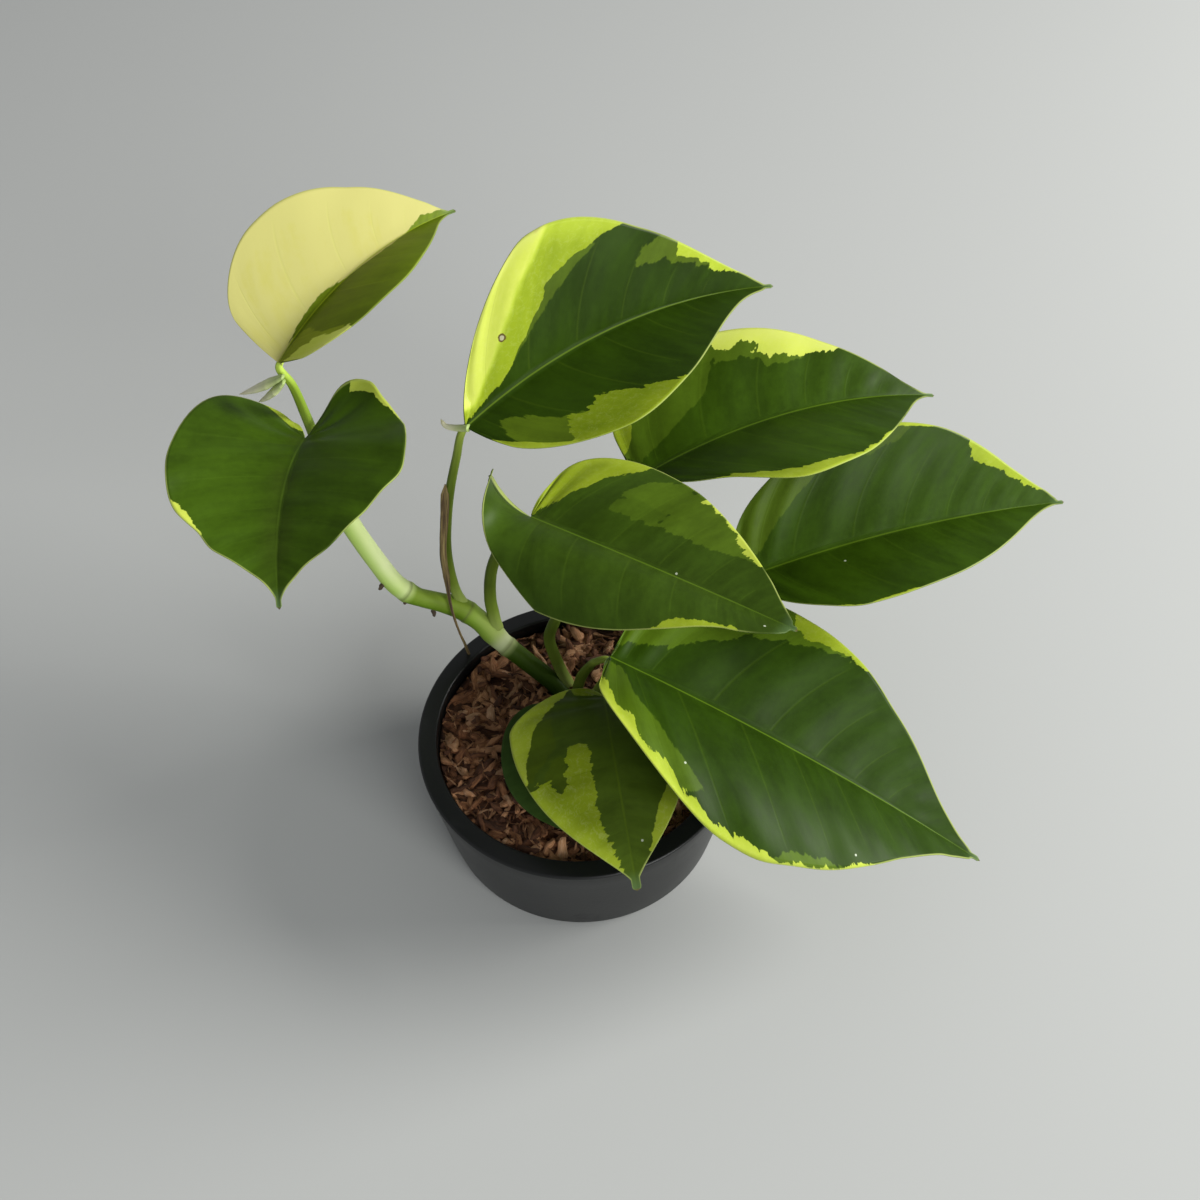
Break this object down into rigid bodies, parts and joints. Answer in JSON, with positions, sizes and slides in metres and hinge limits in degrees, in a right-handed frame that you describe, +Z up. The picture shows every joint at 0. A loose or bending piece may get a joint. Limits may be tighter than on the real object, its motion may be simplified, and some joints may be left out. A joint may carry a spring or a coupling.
{
  "type": "potted philodendron",
  "caption": "Small climbing plant with heart-shaped variegated leaves on a bare curving stem, in a low round pot of husk chips.",
  "frame": {"origin": "centre of the pot's flat base, on the surface it stands on", "axes": "+Z up along the pot's axis, +X towards the side where most leaves reach out, +Y towards the back of the picture's view"},
  "size_m": [0.2977, 0.1876, 0.2218],
  "materials": {
    "pot": "matte black moulded plastic, slightly shiny on the lip's edge",
    "husk": "damp fibrous coconut husk",
    "stem": "smooth green stem, paler above the nodes",
    "petiole": "smooth green stalk",
    "pale_leaf": "young leaf, half cream and half green, soft sheen",
    "leaf": "dark green leaf with lime patches, soft sheen",
    "dry_sheath": "dry brown papery sheath",
    "tip_sheath": "cream waxy sheath"
  },
  "bodies": {
    "root": {"pot": "pot", "medium": "husk", "stem": "stem", "petiole_1": "petiole", "petiole_2": "petiole", "petiole_3": "petiole", "petiole_4": "petiole", "petiole_5": "petiole", "petiole_6": "petiole", "petiole_7": "petiole", "petiole_8": "petiole", "petiole_9": "petiole", "leaf_1": "pale_leaf", "leaf_2": "leaf", "leaf_3": "leaf", "leaf_4": "leaf", "leaf_5": "leaf", "leaf_6": "leaf", "leaf_7": "leaf", "leaf_8": "leaf", "leaf_9": "leaf", "dry_sheath": "dry_sheath", "tip_sheath": "tip_sheath"}
  },
  "joints": []
}
